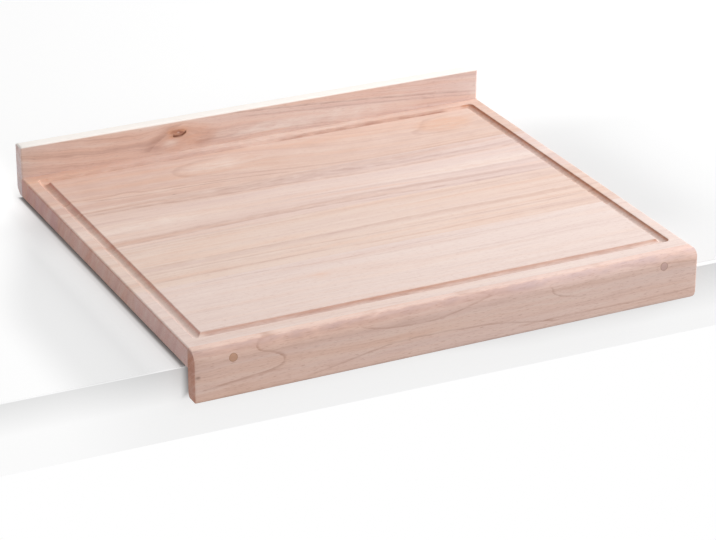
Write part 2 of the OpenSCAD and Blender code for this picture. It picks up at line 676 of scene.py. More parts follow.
@dataclass(frozen=True)
class DowelEnd:
    """The look of a dowel, whose sanded end shows as a disc of end grain.

    Attributes:
        name: The material's name.
        left: Tone of the dowels on the left.
        right: Tone of the dowels on the right.
        rim: Tone of the glue-darkened rim.
    """

    name: str
    left: Colour
    right: Colour
    rim: Colour

    def dress(self, radius: float, reach: float, height: float) -> bpy.types.Material:
        """Makes the material.

        Args:
            radius: The dowels' radius.
            reach: Distance of the dowels' middles from the board's middle.
            height: Height of the dowels' middles.

        Returns:
            The finished material.
        """
        paint = Paint(self.name)
        x, y, z = paint.place()
        aside = abs(x) - reach
        up = z - height
        out = (aside * aside + up * up).root()
        rings = paint.noise(x / 5, (out + aside * 0.8) / 0.7, y / 60, 2.0)
        pores = paint.noise(x / 0.35, z / 0.35, y / 8, 1.0).rise(0.12, 0.26)
        glue = out.rise(radius - 0.9, radius - 0.1)
        colour = paint.blend(x.rise(*HALVES), self.left, self.right)
        for amount in (rings.rise(0.0, 0.4) * 0.5, pores * 0.45, glue * 0.6):
            colour = paint.blend(amount, colour, self.rim)
        looks = {"Base Color": colour, "Roughness": rings * 0.15 + pores * 0.15 + 0.55}
        looks["Normal"] = paint.bump(rings * 0.4 - pores, 0.4, 0.0001)
        return paint.finish(looks | {"Specular IOR Level": 0.35})


# ---- Meshes ----


def add_object(name: str, data: bpy.types.ID) -> bpy.types.Object:
    """Makes an object and links it to the scene."""
    added = bpy.data.objects.new(name, data)
    bpy.context.scene.collection.objects.link(added)
    return added


def smooth(mesh: bpy.types.Mesh, sharp_above: float) -> None:
    """Shades a mesh smooth, but for edges that turn by more than this many degrees."""
    mesh.polygons.foreach_set("use_smooth", [True] * len(mesh.polygons))
    mesh.set_sharp_from_angle(angle=math.radians(sharp_above))


@dataclass
class Skin:
    """A closed surface that is gathered as rings of points, in millimetres.

    Attributes:
        points: Every point.
        faces: Every face, as numbers of points.
    """

    points: list[tuple[float, float, float]] = field(default_factory=list)
    faces: list[tuple[int, ...]] = field(default_factory=list)

    def ring(self, points: Sequence[tuple[float, float, float]]) -> range:
        """Adds a ring of points and returns their numbers."""
        first = len(self.points)
        self.points.extend(points)
        return range(first, len(self.points))

    def wrap(self, rings: Sequence[range], turned: bool = False) -> None:
        """Runs bands of quads from ring to ring and closes the first and the last.

        Args:
            rings: The rings in order, each of as many points.
            turned: True where they go round clockwise, seen against their order.
        """
        for ring, following in zip(rings, rings[1:]):
            one, two = (following, ring) if turned else (ring, following)
            for i in range(len(one)):
                j = (i + 1) % len(one)
                self.faces.append((one[i], one[j], two[j], two[i]))
        first, last = tuple(rings[0]), tuple(rings[-1])
        self.faces += [first, last[::-1]] if turned else [first[::-1], last]

    def make(self, name: str) -> bpy.types.Object:
        """Turns the surface into an object in metres, smooth but for its sharp edges.

        Args:
            name: The object's name.

        Returns:
            The object.
        """
        mesh = bpy.data.meshes.new(name)
        mesh.from_pydata([tuple(value * MM for value in point) for point in self.points], [], self.faces)
        mesh.validate()
        smooth(mesh, 35.0)
        return add_object(name, mesh)


@dataclass(frozen=True)
class Corner:
    """One corner of an outline, with its rounding."""

    u: float
    v: float
    radius: float = 0.0


def outline(corners: Sequence[Corner], step: float) -> list[Point]:
    """Walks round an outline of square corners, anticlockwise.

    Args:
        corners: The corners in order.
        step: The longest straight piece.

    Returns:
        The outline's points.
    """
    points: list[Point] = []
    count = len(corners)
    for i, corner in enumerate(corners):
        here = Vector((corner.u, corner.v))
        previous, following = corners[i - 1], corners[(i + 1) % count]
        before = (Vector((previous.u, previous.v)) - here).normalized()
        after = (Vector((following.u, following.v)) - here).normalized()
        if corner.radius:
            middle = here + (before + after) * corner.radius
            turns = max(6, round(corner.radius * 2))
            flat = corner.radius + HOLD
            points.append(tuple(here + before * flat))
            for k in range(turns + 1):
                angle = math.pi / 2 * k / turns
                spot = middle - after * (corner.radius * math.cos(angle))
                spot = spot - before * (corner.radius * math.sin(angle))
                points.append((spot.x, spot.y))
            points.append(tuple(here + after * flat))
        else:
            points.append((here.x, here.y))
    filled: list[Point] = []
    for one, two in zip(points, points[1:] + points[:1]):
        parts = max(1, math.ceil(math.dist(one, two) / step))
        for k in range(parts):
            share = k / parts
            filled.append((one[0] + (two[0] - one[0]) * share, one[1] + (two[1] - one[1]) * share))
    return filled


def rounding(depth_in: float, radius: float) -> float:
    """How far a rounded edge has fallen away.

    Args:
        depth_in: Distance from the sharp corner, in mm.
        radius: The rounding's radius, in mm.

    Returns:
        How far the surface lies below the flat, in mm.
    """
    if depth_in >= radius:
        return 0.0
    return radius - math.sqrt(max(radius * radius - (radius - depth_in) ** 2, 0.0))


@dataclass(frozen=True)
class EndEdge:
    """A rounded edge of a bar's end.

    Attributes:
        across: True where the distance is measured along Y, False along Z.
        edge: Where the sharp corner would be, in mm.
        towards: 1 or -1, the way into the wood.
        radius: The rounding's radius, in mm.
        above: The edge is rounded only above this height, in mm.
        side: -1 or 1 where only the left or the right end has it, 0 for both.
    """

    across: bool
    edge: float
    towards: int
    radius: float
    above: float = -1000.0
    side: int = 0


@dataclass
class Bar:
    """A straight bar along X whose two ends have rounded edges.

    Attributes:
        corners: The side view's corners in Y and Z, anticlockwise from the lower front.
        spine: The two ends of the line that the end faces close on, in Y and Z.
        edges: The ends' rounded edges.
        half_length: Half the bar's length.
        arris: Rounding of every other edge of the end face.
        step: The widest gap between points of the side view.
        shares: How far the rings of each end are drawn in towards the spine, from 0 to 1.
        stretches: How many rings' gaps lie between the two ends.
    """

    corners: tuple[Corner, ...]
    spine: tuple[Point, Point]
    edges: tuple[EndEdge, ...]
    half_length: float = HALF_LENGTH
    arris: float = 0.7
    step: float = 2.0
    shares: tuple[float, ...] = (0.9, 0.75, 0.62, 0.5, 0.4, 0.31, 0.23, 0.16, 0.1, 0.06, 0.03, 0.01, 0.0)
    stretches: int = 24

    def end_at(self, side: int, y: float, z: float, inside: float) -> float:
        """Where the end face lies.

        Args:
            side: -1 for the left end, 1 for the right.
            y: Place in the side view.
            z: Place in the side view.
            inside: Distance from the outline, in mm.

        Returns:
            The distance from the bar's middle, in mm.
        """
        fall = rounding(inside, self.arris)
        for edge in self.edges:
            if z >= edge.above and edge.side in (0, side):
                away = ((y if edge.across else z) - edge.edge) * edge.towards
                fall = max(fall, rounding(max(away, 0.0), edge.radius))
        return self.half_length - fall

    def inner(self, point: Point, share: float) -> Point:
        """Draws a point of the outline towards the spine.

        Args:
            point: The point.
            share: How much of the way it is drawn, 0 to 1.

        Returns:
            The place that it comes to.
        """
        (y0, z0), (y1, z1) = self.spine
        reach = (z1 - z0) or 1.0
        part = min(max((point[1] - z0) / reach, 0.0), 1.0)
        target = (y0 + (y1 - y0) * part, z0 + (z1 - z0) * part)
        return (point[0] + (target[0] - point[0]) * share, point[1] + (target[1] - point[1]) * share)

    def end_rings(self, shape: Sequence[Point], side: int) -> list[list[tuple[float, float, float]]]:
        """Works out the rings of one end face.

        Args:
            shape: The side view's outline.
            side: -1 for the left end, 1 for the right.

        Returns:
            The rings, from the spine outwards.
        """
        rings = []
        for share in self.shares:
            spots = [self.inner(point, share) for point in shape]
            inside = [math.dist(a, b) for a, b in zip(shape, spots)]
            rings.append([(side * self.end_at(side, y, z, d), y, z) for (y, z), d in zip(spots, inside)])
        return rings

    def build(self, name: str) -> bpy.types.Object:
        """Builds the bar.

        Args:
            name: The object's name.

        Returns:
            The object.
        """
        shape = outline(self.corners, self.step)
        rings = self.end_rings(shape, -1)
        for part in range(1, self.stretches):
            place = 2 * part / self.stretches - 1
            side = -1 if place < 0 else 1
            rings.append([(place * self.end_at(side, y, z, 0.0), y, z) for y, z in shape])
        rings += reversed(self.end_rings(shape, 1))
        skin = Skin()
        skin.wrap([skin.ring(ring) for ring in rings])
        return skin.make(name)


def close_lines(low: float, high: float, middle: float, step: float) -> list[float]:
    """Places of mesh lines from low to high, close together round a groove.

    Args:
        low: The first line.
        high: The last line.
        middle: The groove's middle; outside low to high there is no groove.
        step: The widest gap elsewhere.

    Returns:
        The places in order.
    """
    reach, fine = 6.0, 0.4
    lines = [low, high]
    plain = [(low, high)]
    if low < middle < high:
        count = round(2 * reach / fine)
        lines += [middle - reach + fine * i for i in range(count + 1)]
        plain = [(low, middle - reach), (middle + reach, high)]
    for one, two in plain:
        parts = max(1, math.ceil((two - one) / step))
        lines += [one + (two - one) * i / parts for i in range(1, parts)]
    return sorted({round(line, 4) for line in lines})


@dataclass
class JuiceGroove:
    """The round-bottomed groove, pressed into the staves by a Geometry Nodes tree.

    Attributes:
        width: Its width at the board's top, in mm.
        depth: Its depth, in mm.
        half_length: Distance from the board's middle to the side runs' middles, in mm.
        front: Place of the front run's middle, in mm.
        back: Place of the back run's middle, in mm.
        top: Height of the board's top, in mm.
    """

    width: float = 10.0
    depth: float = 3.5
    half_length: float = 233.0
    front: float = 18.5
    back: float = 395.5
    top: float = THICKNESS

    def tree(self) -> bpy.types.NodeTree:
        """Builds the tree, which lowers the top along a rectangle.

        Returns:
            The node tree, with a named input for each size.
        """
        net = Former("juice_groove", tuple(self.sizes()))
        width, depth, half_length, front, back, top = net.sizes
        x, y, z = net.split(net.add("GeometryNodeInputPosition").outputs[0])
        past_x = abs(x) - half_length
        past_y = abs(y - (front + back) * 0.5) - (back - front) * 0.5
        corner_x, corner_y = past_x.most(0.0), past_y.most(0.0)
        outside = (corner_x * corner_x + corner_y * corner_y).root()
        away = abs(outside + past_x.most(past_y).least(0.0))
        radius = (width * width * 0.25 + depth * depth) / (depth * 2.0)
        bottom = (radius * radius - away * away).root() - (radius - depth)
        # The rim is eased over a few tenths of a millimetre; lengths are in metres here
        eased = (bottom + (bottom * bottom + 2.5e-8).root()) * 0.5
        pressed = eased * away.rise(0.0056, 0.0051)
        on_top = net.math("GREATER_THAN", z, top - 0.00001)
        inputs = {"Geometry": net.given["Geometry"], "Selection": on_top}
        inputs["Offset"] = net.vector(0.0, 0.0, -pressed)
        return net.finish(net.add("GeometryNodeSetPosition", None, inputs).outputs[0])

    def sizes(self) -> dict[str, float]:
        """The tree's inputs, in metres."""
        values = {"Width": self.width, "Depth": self.depth, "Half Length": self.half_length}
        values |= {"Front": self.front, "Back": self.back, "Top": self.top}
        return {name: value * MM for name, value in values.items()}


def run_tree(piece: bpy.types.Object, tree: bpy.types.NodeTree, values: dict) -> None:
    """Puts an object through a Geometry Nodes tree and keeps the plain mesh that comes out.

    Args:
        piece: The object.
        tree: The tree.
        values: The tree's inputs by name.
    """
    modifier = piece.modifiers.new(tree.name, "NODES")
    modifier.node_group = tree
    for item in tree.interface.items_tree:
        if item.item_type == "SOCKET" and item.in_out == "INPUT" and item.name in values:
            modifier[item.identifier] = values[item.name]
    bpy.context.view_layer.update()
    seen = piece.evaluated_get(bpy.context.evaluated_depsgraph_get())
    mesh = bpy.data.meshes.new_from_object(seen)
    piece.modifiers.clear()
    old, piece.data = piece.data, mesh
    mesh.name = piece.name
    bpy.data.meshes.remove(old)


def settle(piece: bpy.types.Object, node: str) -> None:
    """Puts a finished piece in its CAD node's place and reports it.

    Args:
        piece: The finished piece.
        node: The node that it stands for.
    """
    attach(piece, "root")
    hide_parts(node)
    LOG.info("%s: %d faces", piece.name, len(piece.data.polygons))


# ---- The board's sub-assemblies ----


@dataclass
class Stave:
    """One stave of the board.

    Attributes:
        node: The CAD node that it replaces.
        front: Where it starts, in mm.
        back: Where it ends, in mm.
        wood: Its finish.
    """

    node: str
    front: float
    back: float
    wood: Wood


@dataclass
class Panel:
    """The flat board: its staves and the groove round their top.

    Attributes:
        staves: The staves from the front to the back.
        groove: The juice groove.
        half_length: Half the board's length, in mm.
        thickness: The board's thickness, in mm.
        edge_radius: Rounding of the end edges, in mm.
    """

    staves: tuple[Stave, ...]
    groove: JuiceGroove
    half_length: float = HALF_LENGTH
    thickness: float = THICKNESS
    edge_radius: float = 2.0

    def section(self) -> list[Point]:
        """Draws the board's front view, with close lines at the groove.

        Returns:
            The view as a ring of points, anticlockwise.
        """
        radius, end, top = self.edge_radius, self.half_length, self.thickness
        edge = end - radius
        near = edge - HOLD
        right = close_lines(0.0, edge, self.groove.half_length, 12.0)
        low = [(x, 0.0) for x in (-edge, -near, -end / 2, 0.0, end / 2, near, edge)]
        high = [(x, top) for x in sorted({-x for x in right} | set(right) | {near, -near}, reverse=True)]

        def turn(x: float, z: float, start: float) -> list[Point]:
            """A quarter turn about a point, without its two ends."""
            angles = [math.radians(start + 90 * k / 7) for k in range(1, 7)]
            return [(x + radius * math.cos(a), z + radius * math.sin(a)) for a in angles]

        heights = (radius, radius + HOLD, top / 2, top - radius - HOLD, top - radius)
        upright = [(end, z) for z in heights]
        ring = low + turn(edge, radius, -90) + upright + turn(edge, top - radius, 0)
        ring += high + turn(-edge, top - radius, 90) + [(-x, z) for x, z in reversed(upright)]
        return ring + turn(-edge, radius, 180)

    def build(self) -> None:
        """Builds and dresses every stave."""
        tree = self.groove.tree()
        section = self.section()
        for stave in self.staves:
            middle = self.groove.front if stave.front < self.groove.front else self.groove.back
            lines = close_lines(stave.front, stave.back, middle, 9.0)
            skin = Skin()
            skin.wrap([skin.ring([(x, y, z) for x, z in section]) for y in lines], turned=True)
            piece = skin.make("wood_" + stave.node)
            run_tree(piece, tree, self.groove.sizes() | {"Wood": stave.wood.dress(self.groove)})
            settle(piece, stave.node)


@dataclass
class Rail:
    """The lip or the upstand: a bar and its wood.

    Attributes:
        node: The CAD node that it replaces.
        slot: The record's material slot; not used.
        bar: Its shape.
        wood: Its finish.
    """

    node: str
    slot: str
    bar: Bar
    wood: Wood

    def build(self) -> None:
        """Builds and dresses the rail."""
        piece = self.bar.build("wood_" + self.node)
        piece.data.materials.append(self.wood.dress())
        settle(piece, self.node)


@dataclass
class Dowels:
    """The four dowels, made by one Geometry Nodes tree.

    Attributes:
        finish: Their finish.
        radius: Their radius, in mm.
        reach: Distance of their middles from the board's middle, in mm.
        height: Height of their middles, in mm.
        lip_span: Where the front dowels start and end, in mm.
        upstand_span: Where the rear dowels end and start, in mm.
        nose: Radius of the lip's rounding, and the height where it starts, in mm.
        heel: Radius of the upstand's rounding, and the height where it starts, in mm.
    """

    finish: DowelEnd
    radius: float = 4.0
    reach: float = 214.0
    height: float = THICKNESS / 2
    lip_span: Point = (-LIP_THICKNESS, DOWEL_DEPTH)
    upstand_span: Point = (DEPTH + UPSTAND_THICKNESS, DEPTH - DOWEL_DEPTH)
    nose: Point = (10.0, 10.0)
    heel: Point = (14.0, 14.0)

    def tree(self) -> bpy.types.NodeTree:
        """Builds the tree: a bar whose outer end follows the rounding that it comes out of.

        Returns:
            The node tree, with a named input for each size.
        """
        net = Former("dowel", tuple(self.sizes(1, False)))
        radius, side, height, outer, inner, bend, bend_from, up = net.sizes
        inputs = {"Vertices": 48, "Side Segments": 12, "Fill Segments": 7, "Radius": radius, "Depth": 1.0}
        rod = net.add("GeometryNodeMeshCylinder", {"fill_type": "TRIANGLE_FAN"}, inputs).outputs[0]
        x, y, z = net.split(net.add("GeometryNodeInputPosition").outputs[0])
        along = z + 0.5
        # The blind end is drawn in a little
        eased = 1.0 - along.rise(0.93, 1.0) * 0.12
        place_z = y * eased + height
        past = ((place_z - bend_from) * up).most(0.0)
        bent = bend - (bend * bend - past * past).root()
        inwards = net.math("SIGN", inner - outer)
        start = outer + inwards * bent
        spot = net.vector(x * eased + side, start + (inner - start) * along, place_z)
        shape = net.add("GeometryNodeSetPosition", None, {"Geometry": rod, "Position": spot}).outputs[0]
        flip = net.math("GREATER_THAN", inwards, 0.0)
        inputs = {"Mesh": shape, "Selection": flip}
        return net.finish(net.add("GeometryNodeFlipFaces", None, inputs).outputs[0])

    def sizes(self, side: int, rear: bool) -> dict[str, float]:
        """The tree's inputs for one dowel.

        Args:
            side: -1 for the left, 1 for the right.
            rear: True for the upstand's, False for the lip's.

        Returns:
            Each size in metres, and 1 where the rounding is above it, -1 where it is below.
        """
        (outer, inner), (bend, level) = (self.upstand_span, self.heel) if rear else (self.lip_span, self.nose)
        values = {"Radius": self.radius, "Side": side * self.reach, "Height": self.height}
        values |= {"Outer End": outer, "Inner End": inner, "Rounding": bend, "Rounded From": level}
        return {name: value * MM for name, value in values.items()} | {"Up": -1.0 if rear else 1.0}

    def build(self) -> None:
        """Builds and dresses the four dowels."""
        tree = self.tree()
        wood = self.finish.dress(self.radius, self.reach, self.height)
        for place in ("front", "rear"):
            for name, side in (("left", -1), ("right", 1)):
                node = f"{place}_dowel_{name}"
                piece = add_object("wood_" + node, bpy.data.meshes.new(node))
                run_tree(piece, tree, self.sizes(side, place == "rear") | {"Wood": wood})
                smooth(piece.data, 40.0)
                settle(piece, node)


# ---- The stage ----


@dataclass
class Worktop:
    """The pale worktop that the board lies on, with its front edge behind the lip.

    Attributes:
        left_edge: Place of its front edge at the board's left end, in mm.
        right_edge: The same at the right end, in mm.
        thickness: Height of its front face, in mm.
        reach: How far it goes to the sides and back, in mm.
        drop: How far its top lies below the board, in mm.
        edge: Rounding of its front edge, in mm.
        steps: How many flats make up that rounding.
    """

    left_edge: float = 9.0
    right_edge: float = 0.4
    thickness: float = 70.0
    reach: float = 5000.0
    drop: float = 1.0
    edge: float = 0.8
    steps: int = 5

    def paint(self) -> bpy.types.Material:
        """Makes the pale finish: white to the camera with painted light and painted shade, an ordinary pale
        grey to the light.

        Returns:
            The material.
        """
        paint = Paint("worktop_white")
        path = paint.add("ShaderNodeLightPath").outputs
        x, y, z = paint.split(paint.add("ShaderNodeTexCoord").outputs["Object"])
        seen = Num(paint, path["Is Camera Ray"]).most(Num(paint, path["Is Glossy Ray"]))
        face = z.rise(-(self.drop + 0.4) * MM, -(self.drop + 1.8) * MM)
        glow = face * self.front_glow(x, z) + (1.0 - face) * self.top_glow(x, y) + face * (1.0 - face) * 0.5
        black, white = (0.0, 0.0, 0.0, 1.0), (1.0, 1.0, 1.0, 1.0)
        looks = {"Base Color": paint.blend(seen, (0.74, 0.74, 0.74, 1.0), (0.44, 0.44, 0.44, 1.0))}
        looks["Emission Color"] = paint.blend(seen * glow, black, white)
        return paint.finish(looks | {"Emission Strength": 1.0, "Roughness": 0.28, "Specular IOR Level": 0.25})

    def front_glow(self, x: Num, z: Num) -> Num:
        """Works out how pale the front face looks.

        Args:
            x: The place along the edge, in metres.
            z: The height, in metres.

        Returns:
            What is added to the lamps' light, less towards the edge and beside the lip.
        """
        aside = abs(x) - HALF_LENGTH * MM
        right = x.rise(-0.1, 0.1)
        # From 0 at the edge to 1 lower down, sooner on the left
        fall = ((-z - 0.002) * (31.0 - right * 11.0)).most(0.0).least(1.0)
        # Both tones are paler away from the lip's end
        away = aside.rise(0.01, 0.12)
        high = away * 0.12 + 0.34
        low = away * 0.06 + 0.6
        # The rounded edge is a painted highlight, a pale line drawn 3 mm lower on the right
        sunk = (-z - right * 0.003 - 0.0014).rise(0.0, 0.0014)
        pale = sunk * (high + (low - high) * fall) + (1.0 - sunk) * 0.7
        # Dark behind the lip, whose shade ends 2 mm below it
        below = -z - (LIP_DROP + 2) * MM
        return pale * aside.most(below).rise(-0.007, 0.0045)

    def top_glow(self, x: Num, y: Num) -> Num:
        """Works out how pale the top looks.

        Args:
            x: The place along the edge, in metres.
            y: The place behind the edge, in metres.

        Returns:
            What is added to the lamps' light, nothing where the board lies.
        """
        aside = abs(x) - HALF_LENGTH * MM
        left = x.rise(0.1, -0.1)
        # Left of the board: painted light in a strip close to it, over the board's shadow, and a paler field
        # further out
        strip = aside.rise(0.004, 0.009) * aside.rise(0.038, 0.018) * y.rise(0.38, 0.25) * 0.12
        open_side = (aside + y.rise(0.13, 0.45) * 0.105).rise(0.075, 0.125) * 0.15
        # Right of the board: a slow rise outwards, less a veil of shade
        veil = y.rise(0.04, 0.14) * y.rise(0.42, 0.24) * aside.rise(0.12, 0.03) * 0.08
        side = left * (strip + open_side) + (1.0 - left) * (aside.rise(0.03, 0.3) * 0.12 - veil)
        # Behind the board, palest beside its left rear corner, painted light over the upstand's shadow
        corner = left * aside.rise(0.0, 0.012) * aside.rise(0.1, 0.02) * 0.14
        back = y.rise(0.33, 0.43) * (corner + 0.12)
        # Nothing under the board, up to 2 mm behind the upstand's glue line
        behind = y - (DEPTH + 2) * MM
        return aside.most(behind).rise(0.0005, 0.0045) * (side + back + 0.42)

    def build(self) -> None:
        """Builds the slab and gives it its pale finish."""
        slope = (self.right_edge - self.left_edge) / (2 * HALF_LENGTH)
        middle = (self.right_edge + self.left_edge) / 2
        far = self.reach
        front = [(-far, middle - slope * far), (far, middle + slope * far)]
        back = [(far, far), (-far, far)]
        skin = Skin()
        rings = [skin.ring([(x, y, -self.thickness) for x, y in front + back])]
        for k in range(self.steps + 1):
            angle = math.pi / 2 * k / self.steps
            inset, fall = self.edge * (1 - math.cos(angle)), self.edge * (1 - math.sin(angle))
            ring = [(x, y + inset) for x, y in front] + back
            rings.append(skin.ring([(x, y, -self.drop - fall) for x, y in ring]))
        skin.wrap(rings)
        slab = skin.make("worktop")
        slab.data.materials.append(self.paint())


@dataclass(frozen=True)
class Lamp:
    """A soft lamp that points at the board.

    Attributes:
        name: Its name.
        place: Where it hangs, in metres.
        size: Its width, in metres.
        power: Its power, in watts.
    """

    name: str
    place: tuple[float, float, float]
    size: float
    power: float

    def hang(self, target: Vector) -> None:
        """Hangs the lamp.

        Args:
            target: What it points at.
        """
        light = bpy.data.lights.new(self.name, "AREA")
        light.shape = "DISK"
        light.size = self.size
        light.energy = self.power
        lamp = add_object(self.name, light)
        lamp.location = self.place
        lamp.rotation_euler = (target - Vector(self.place)).to_track_quat("-Z", "Y").to_euler()


@dataclass
class Studio:
    """The room's light and the camera.

    Attributes:
        lamps: The soft lamps.
        room: Brightness of the room's even light.
        middle: What the lamps point at, in metres.
        place: Where the camera stands, in metres.
        bearing: Which way it looks, in degrees from +Y towards +X.
        down: How far it looks down, in degrees.
        roll: How far it is turned about its own axis, in degrees.
        lens: Its focal length, in mm on a sensor 36 mm wide.
    """

    lamps: tuple[Lamp, ...]
    room: float = 0.54
    middle: tuple[float, float, float] = (0.0, 0.2, 0.0)
    place: tuple[float, float, float] = (-1.0471, -1.94109, 1.05198)
    bearing: float = 26.2623
    down: float = 24.6082
    roll: float = -0.255
    lens: float = 138.8

    def light(self) -> None:
        """Sets the room's light and hangs the lamps."""
        world = bpy.data.worlds.new("room")
        bpy.context.scene.world = world
        world.use_nodes = True
        net = Net(world.node_tree)
        world.node_tree.nodes.clear()
        path = net.add("ShaderNodeLightPath").outputs
        seen = Num(net, path["Is Camera Ray"]).most(Num(net, path["Is Transmission Ray"]))
        even, white = (
            net.add("ShaderNodeBackground", None, {"Color": (1, 1, 1, 1), "Strength": strength}).outputs[0]
            for strength in (self.room, 1.0)
        )
        both = net.add("ShaderNodeMixShader", None, {0: seen, 1: even, 2: white}).outputs[0]
        net.add("ShaderNodeOutputWorld", None, {"Surface": both})
        for lamp in self.lamps:
            lamp.hang(Vector(self.middle))

    def aim(self) -> None:
        """Sets up the camera."""
        bearing, down, roll = (math.radians(value) for value in (self.bearing, self.down, self.roll))
        level = math.cos(down)
        ahead = Vector((math.sin(bearing) * level, math.cos(bearing) * level, -math.sin(down)))
        right = Vector((math.cos(bearing), -math.sin(bearing), 0.0))
        below = ahead.cross(right)
        turned = right * math.cos(roll) + below * math.sin(roll)
        below = below * math.cos(roll) - right * math.sin(roll)
        data = bpy.data.cameras.new("camera")
        data.sensor_width = 36.0
        data.lens = self.lens
        data.clip_end = 100.0
        camera = add_object("camera", data)
        turn = Matrix((turned, -below, -ahead)).transposed()
        camera.matrix_world = Matrix.Translation(self.place) @ turn.to_4x4()
        bpy.context.scene.camera = camera


# ---- What is built ----

FRONT_WOOD = Wood(
    name="front_stave_wood",
    left=tint(232, 211, 202),
    right=tint(237, 218, 210),
    seed=1.0,
    grain=Grain(broad=0.7, bands=0.9, pores=1.3, hue=0.6),
    drifts=(
        Drift(30.0, ((-250, 2), (-120, 4), (0, 0), (120, -2), (250, 0))),
        Drift(115.0, ((-250, 0), (-120, 3), (0, -1), (120, 0), (250, 1))),
    ),
    figure=(
        Patch(-86.0, 84.0, 16.0, 9.0, 0.3, Tone.WARM),
        GrainAndShadeLine(((-200, 112), (-150, 114), (-110, 112), (-60, 108), (0, 110), (90, 111)), 0.8, 2.0, 0.25),
        Patch(0.0, 113.0, 240.0, 10.0, 0.2, Tone.GREY),
        # Painted shade over the front groove's rear wall, reaching a little onto the top behind it
        GrainAndShadeLine(((-243, 21.0), (-100, 20.9), (60, 21.0), (222, 21.1)), 4.5, -6.0, 0.4),
    ),
)
MID_FRONT_WOOD = Wood(
    name="mid_front_stave_wood",
    left=tint(230, 206, 193),
    right=tint(235, 209, 196),
    seed=2.0,
    grain=Grain(broad=0.9, bands=1.1, pores=1.1, mottle=1.3, wander=1.8),
    figure=(
        GrainAndShadeLine(((-240, 166), (-60, 164), (60, 167), (160, 166), (240, 168)), 1.6, -9.0, 0.22),
        GrainAndShadeLine(((-240, 147), (-140, 149), (0, 146), (120, 145), (240, 149)), 1.0, 3.0, 0.24),
        GrainAndShadeLine(((-240, 130), (-100, 132), (40, 128), (150, 131), (240, 128)), 1.0, 3.0, 0.22),
    ),
)
MID_BACK_WOOD = Wood(
    name="mid_back_stave_wood",
    left=tint(230, 203, 190),
    right=tint(235, 212, 204),
    seed=3.0,
    grain=Grain(broad=0.9, bands=1.2, wander=1.8),
    drifts=(
        Drift(
            219.0,
            ((-250, -0.6), (-169, 1), (-119, 4), (-39, 6), (25, 4.5), (98, 0), (165, -3.5), (250, -6)),
        ),
        Drift(
            293.0,
            ((-250, 3), (-177, 3), (-119, -1), (-39, -4), (10, -8), (70, -12.5), (150, -12), (250, -7)),
        ),
    ),
    figure=(
        Patch(0.0, 300.0, 300.0, 20.0, 0.3, Tone.DARK, 0.2),
        Patch(-200.0, 256.0, 200.0, 20.0, 0.35, Tone.LIGHT),
        Patch(180.0, 254.0, 190.0, 20.0, 0.35, Tone.LIGHT),
        GrainAndShadeLine(((-250, 226), (-60, 232), (60, 233), (160, 229), (250, 222)), 6.0, -12.0, 0.22),
        GrainAndShadeLine(
            ((-250, 218.4), (-169, 220), (-119, 223), (-39, 225),
             (25, 223.5), (98, 219), (165, 215.5), (250, 213)),
            1.8, 5.0, 0.34,
        ),
        GrainAndShadeLine(
            ((-250, 297), (-177, 296), (-119, 292), (-39, 289),
             (10, 285), (70, 280.5), (150, 281), (250, 286)),
            1.6, 5.0, 0.3,
        ),
        GrainAndShadeLine(((-250, 303), (-150, 303), (-60, 300), (20, 297), (120, 290), (250, 294)), 1.4, 3.6, 0.24),
    ),
)
BACK_WOOD = Wood(
    name="back_stave_wood",
    left=tint(221, 187, 172),
    right=tint(230, 201, 187),
    seed=4.0,
    grain=Grain(broad=0.9, bands=0.9, hue=0.9, mottle=2.5, wander=4.4),
    drifts=(
        Drift(318.0, ((-250, 14), (-150, 8), (-60, 2), (0, -6), (80, -14), (160, -16), (250, -16))),
        Drift(385.0, ((-250, 4), (-120, 4), (-40, 0), (20, -14), (100, -40), (170, -48), (250, -50))),
    ),
    swells=(Patch(-60.0, 360.0, 60.0, 18.0, 12.0), Patch(190.0, 362.0, 48.0, 22.0, 10.0)),
    figure=(
        Patch(-240.0, 400.0, 160.0, 34.0, 0.35, Tone.WARM),
        Patch(60.0, 376.0, 110.0, 14.0, 0.25, Tone.WARM),
        Patch(185.0, 361.0, 38.0, 22.0, 0.34, Tone.WARM, 0.6),
        Patch(-70.0, 360.0, 46.0, 19.0, 0.3, Tone.LIGHT, 0.2),
        GrainAndShadeLine(
            ((340, -79), (345, -102), (355, -112), (368, -105), (377, -79), (380.5, -39)),
            3.0, 9.0, 0.24, course=Course.ACROSS,
        ),
        GrainAndShadeLine(
            ((340, 191), (344, 165), (350, 146), (362, 158), (375, 168), (382, 181)),
            3.0, 8.0, 0.22, course=Course.ACROSS,
        ),
        GrainAndShadeLine(
            ((-245, 339), (-209, 333), (-188, 332), (-175, 334),
             (-158, 330), (-138, 328.5), (-100, 326), (0, 312)),
            1.0, 3.0, 0.42,
        ),
        GrainAndShadeLine(((-215, 329), (-175, 324), (-152, 322), (-118, 322), (-60, 316)), 0.9, 2.6, 0.36),
        GrainAndShadeLine(((-95, 340), (-55, 331), (-20, 324), (20, 318), (90, 312), (230, 312)), 1.2, 4.0, 0.24),
        Patch(-132.0, 310.0, 3.6, 1.9, 0.6, Tone.DEEP, 0.3),
        Patch(-118.0, 311.5, 20.0, 1.2, 0.3, Tone.DARK),
        Patch(180.7, 309.3, 4.6, 1.9, 0.7, Tone.DEEP, 0.3),
        # Painted light along the strip in front of the upstand, over the shade that falls there
        Patch(20.0, 407.0, 190.0, 9.0, 0.38, Tone.LIGHT, 0.4),
        # Painted shade along the back groove's rear wall
        GrainAndShadeLine(((14, 398.0), (70, 398.2), (212, 398.0)), 1.7, 2.8, 0.74),
        GrainAndShadeLine(((-230, 398.0), (-110, 398.2), (-14, 398.2)), 2.4, 3.2, 0.42),
        Patch(184.0, 309.3, 17.0, 3.0, 0.25, Tone.DARK),
    ),
    end=(1.03, 0.92, 1.02, 1.0),
)
